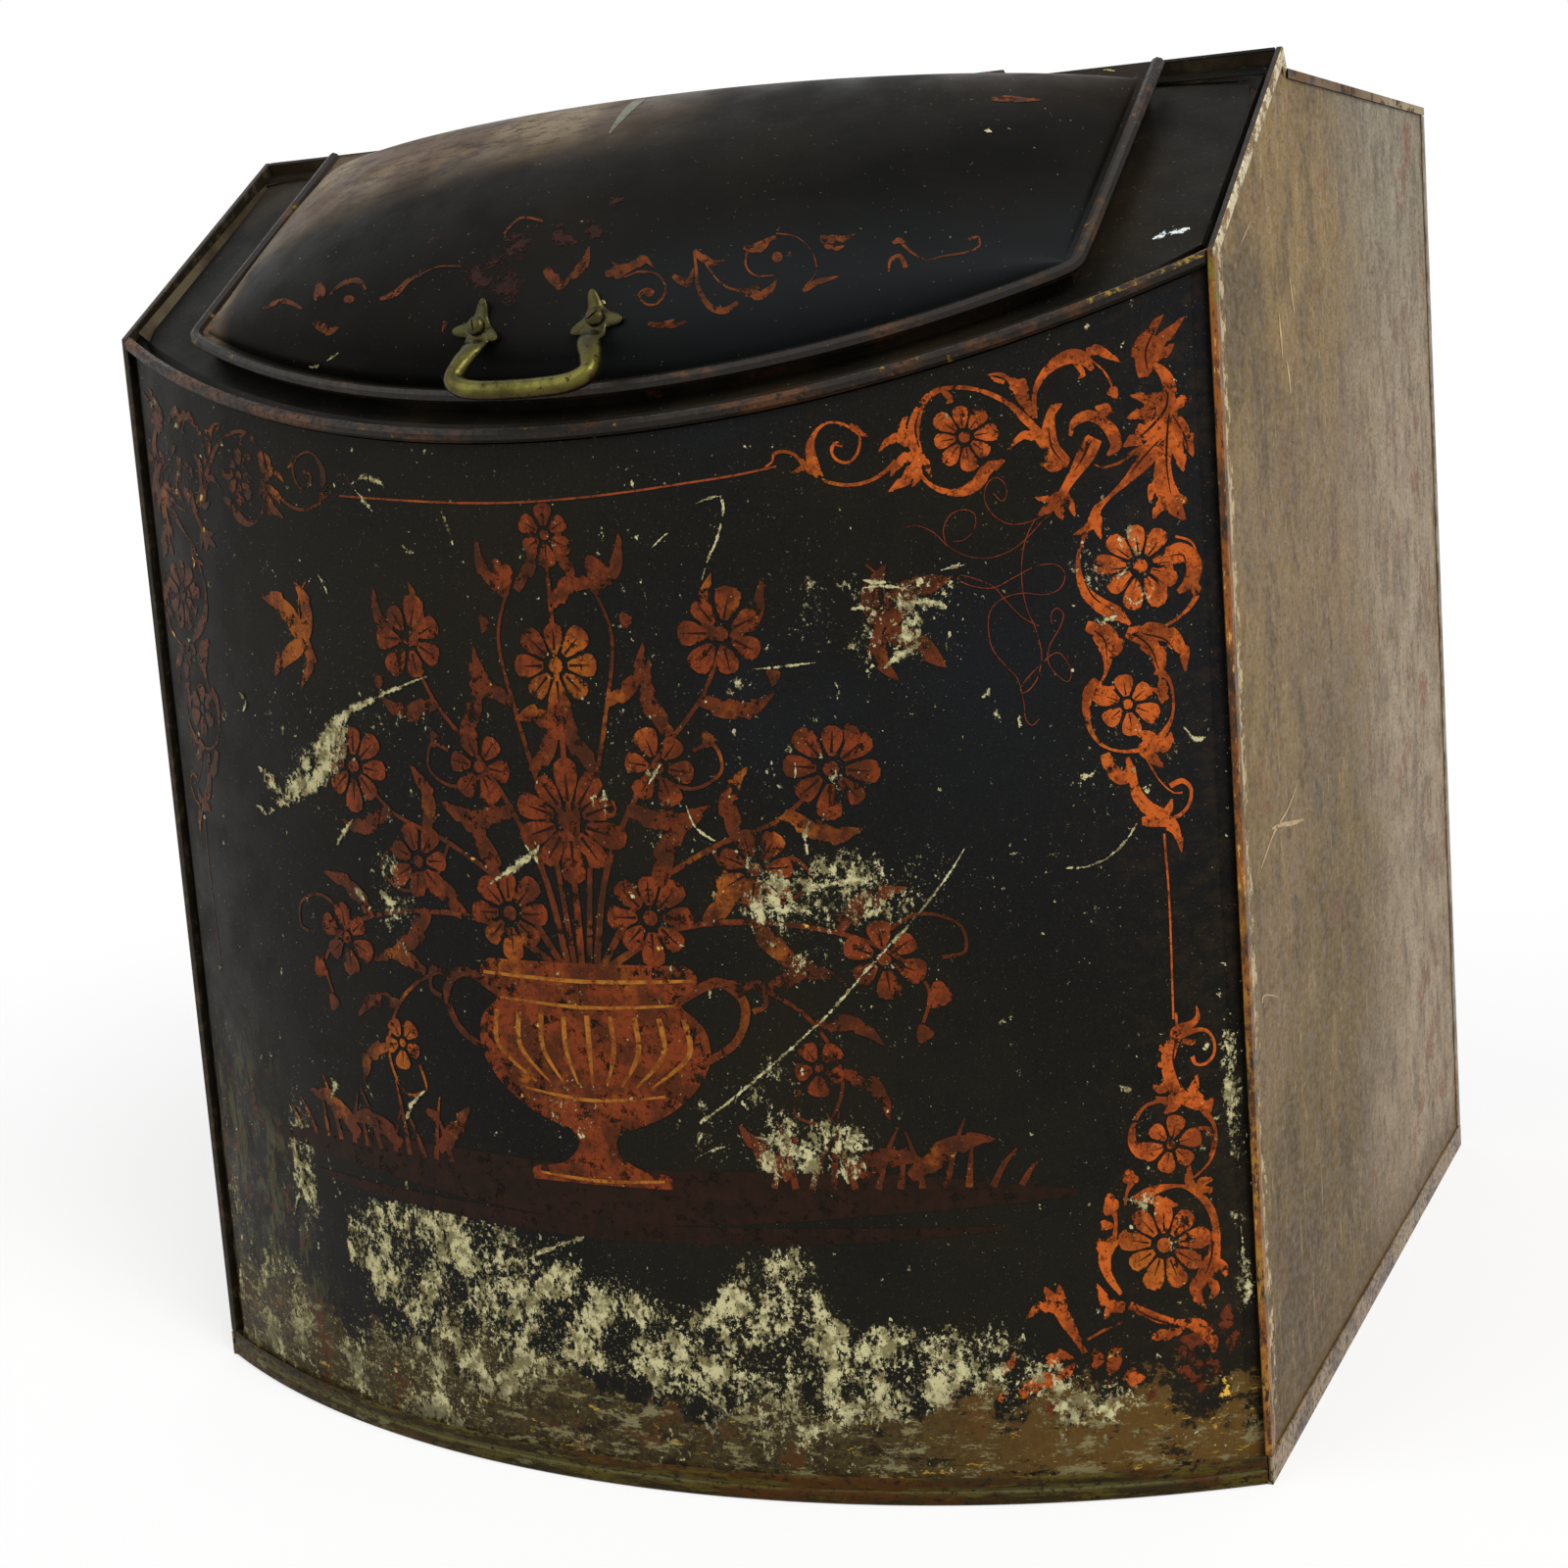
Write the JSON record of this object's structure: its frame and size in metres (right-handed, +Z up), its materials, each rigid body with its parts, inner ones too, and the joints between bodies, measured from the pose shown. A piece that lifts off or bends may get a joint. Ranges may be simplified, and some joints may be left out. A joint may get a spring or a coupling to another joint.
{
  "type": "tea bin",
  "caption": "Slant-front tea bin of japanned sheet tin with a bowed front, side bindings, base rim and a hinged domed lid with a brass bow handle.",
  "frame": {"origin": "on the floor, below the middle of the overall box", "axes": "+X to the bin's left as it faces out (the viewer's right), -Y out of the bowed front, +Z up"},
  "size_m": [0.53, 0.5263, 0.5959],
  "materials": {
    "back_base_fold": "worn black paint over rusty tinplate",
    "back_panel": "dull dark paint",
    "bottom_panel": "dull dark paint",
    "bow_handle": "dull aged brass",
    "front_base_bead": "worn black paint over rusty tinplate",
    "front_panel": "glossy black with a painted ornament",
    "front_rim_bead": "worn black paint over rusty tinplate",
    "left_back_binding": "worn black paint over rusty tinplate",
    "left_base_fold": "worn black paint over rusty tinplate",
    "left_body_hinge_leaf": "dark old iron",
    "left_body_rivet_a": "dark old iron",
    "left_body_rivet_b": "dark old iron",
    "left_front_binding": "worn black paint over rusty tinplate",
    "left_handle_nut": "dark old iron",
    "left_handle_screw": "dull aged brass",
    "left_handle_washer": "dark old iron",
    "left_hinge_pin": "dark old iron",
    "left_lid_hinge_leaf": "dark old iron",
    "left_lid_rivet_a": "dark old iron",
    "left_lid_rivet_b": "dark old iron",
    "left_side_panel": "worn tinplate with remains of dark paint",
    "lid_edge_bead": "worn black paint over rusty tinplate",
    "lid_shell": "glossy black with a painted ornament",
    "opening_collar": "dull dark paint",
    "right_back_binding": "worn black paint over rusty tinplate",
    "right_base_fold": "worn black paint over rusty tinplate",
    "right_body_hinge_leaf": "dark old iron",
    "right_body_rivet_a": "dark old iron",
    "right_body_rivet_b": "dark old iron",
    "right_front_binding": "worn black paint over rusty tinplate",
    "right_handle_nut": "dark old iron",
    "right_handle_screw": "dull aged brass",
    "right_handle_washer": "dark old iron",
    "right_hinge_pin": "dark old iron",
    "right_lid_hinge_leaf": "dark old iron",
    "right_lid_rivet_a": "dark old iron",
    "right_lid_rivet_b": "dark old iron",
    "right_side_panel": "worn tinplate with remains of dark paint",
    "slope_lip": "glossy black with a painted ornament",
    "slope_panel": "glossy black with a painted ornament",
    "top_panel": "glossy black with a painted ornament"
  },
  "bodies": {
    "tin": {"back_base_fold": "back_base_fold", "back_panel": "back_panel", "bottom_panel": "bottom_panel", "front_base_bead": "front_base_bead", "front_panel": "front_panel", "front_rim_bead": "front_rim_bead", "left_back_binding": "left_back_binding", "left_base_fold": "left_base_fold", "left_body_hinge_leaf": "left_body_hinge_leaf", "left_body_rivet_a": "left_body_rivet_a", "left_body_rivet_b": "left_body_rivet_b", "left_front_binding": "left_front_binding", "left_hinge_pin": "left_hinge_pin", "left_side_panel": "left_side_panel", "opening_collar": "opening_collar", "right_back_binding": "right_back_binding", "right_base_fold": "right_base_fold", "right_body_hinge_leaf": "right_body_hinge_leaf", "right_body_rivet_a": "right_body_rivet_a", "right_body_rivet_b": "right_body_rivet_b", "right_front_binding": "right_front_binding", "right_hinge_pin": "right_hinge_pin", "right_side_panel": "right_side_panel", "slope_lip": "slope_lip", "slope_panel": "slope_panel", "top_panel": "top_panel"},
    "lid": {"bow_handle": "bow_handle", "left_handle_nut": "left_handle_nut", "left_handle_screw": "left_handle_screw", "left_handle_washer": "left_handle_washer", "left_lid_hinge_leaf": "left_lid_hinge_leaf", "left_lid_rivet_a": "left_lid_rivet_a", "left_lid_rivet_b": "left_lid_rivet_b", "lid_edge_bead": "lid_edge_bead", "lid_shell": "lid_shell", "right_handle_nut": "right_handle_nut", "right_handle_screw": "right_handle_screw", "right_handle_washer": "right_handle_washer", "right_lid_hinge_leaf": "right_lid_hinge_leaf", "right_lid_rivet_a": "right_lid_rivet_a", "right_lid_rivet_b": "right_lid_rivet_b"}
  },
  "joints": [
    {"name": "lid_hinge", "type": "hinge", "parent": "tin", "child": "lid", "pos_m": [0, -0.05599, 0.59142], "axis": [-1, 0, 0], "range_deg": [0, 180]}
  ]
}
